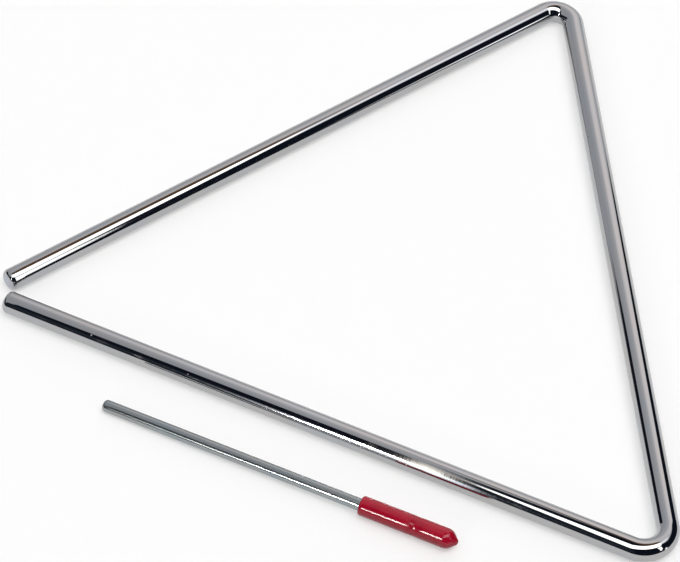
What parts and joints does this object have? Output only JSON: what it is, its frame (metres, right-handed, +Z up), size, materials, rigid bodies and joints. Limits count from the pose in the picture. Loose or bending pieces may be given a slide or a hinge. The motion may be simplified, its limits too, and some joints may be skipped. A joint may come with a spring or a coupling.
{
  "type": "triangle instrument",
  "caption": "Bent steel rod triangle, open at one corner, lying flat with its beater, a thin steel shank with a red vinyl grip.",
  "frame": {"origin": "on the table, under the middle of the triangle's box", "axes": "+X from the open corner to the closed side, +Y along the closed side towards the top corner that it hangs from, +Z up from the table"},
  "size_m": [0.2216, 0.254, 0.0079],
  "materials": {
    "triangle_chrome": "bright chrome plate on steel",
    "shank_plating": "bright zinc plate on drawn steel",
    "grip_vinyl": "glossy soft vinyl"
  },
  "bodies": {
    "triangle": {"triangle_rod": "triangle_chrome"},
    "beater": {"beater_shank": "shank_plating", "beater_grip": "grip_vinyl"}
  },
  "joints": [
    {"name": "beater_lift", "type": "slide", "parent": "triangle", "child": "beater", "axis": [0, 0, 1], "range_m": [0, 0.15]}
  ]
}
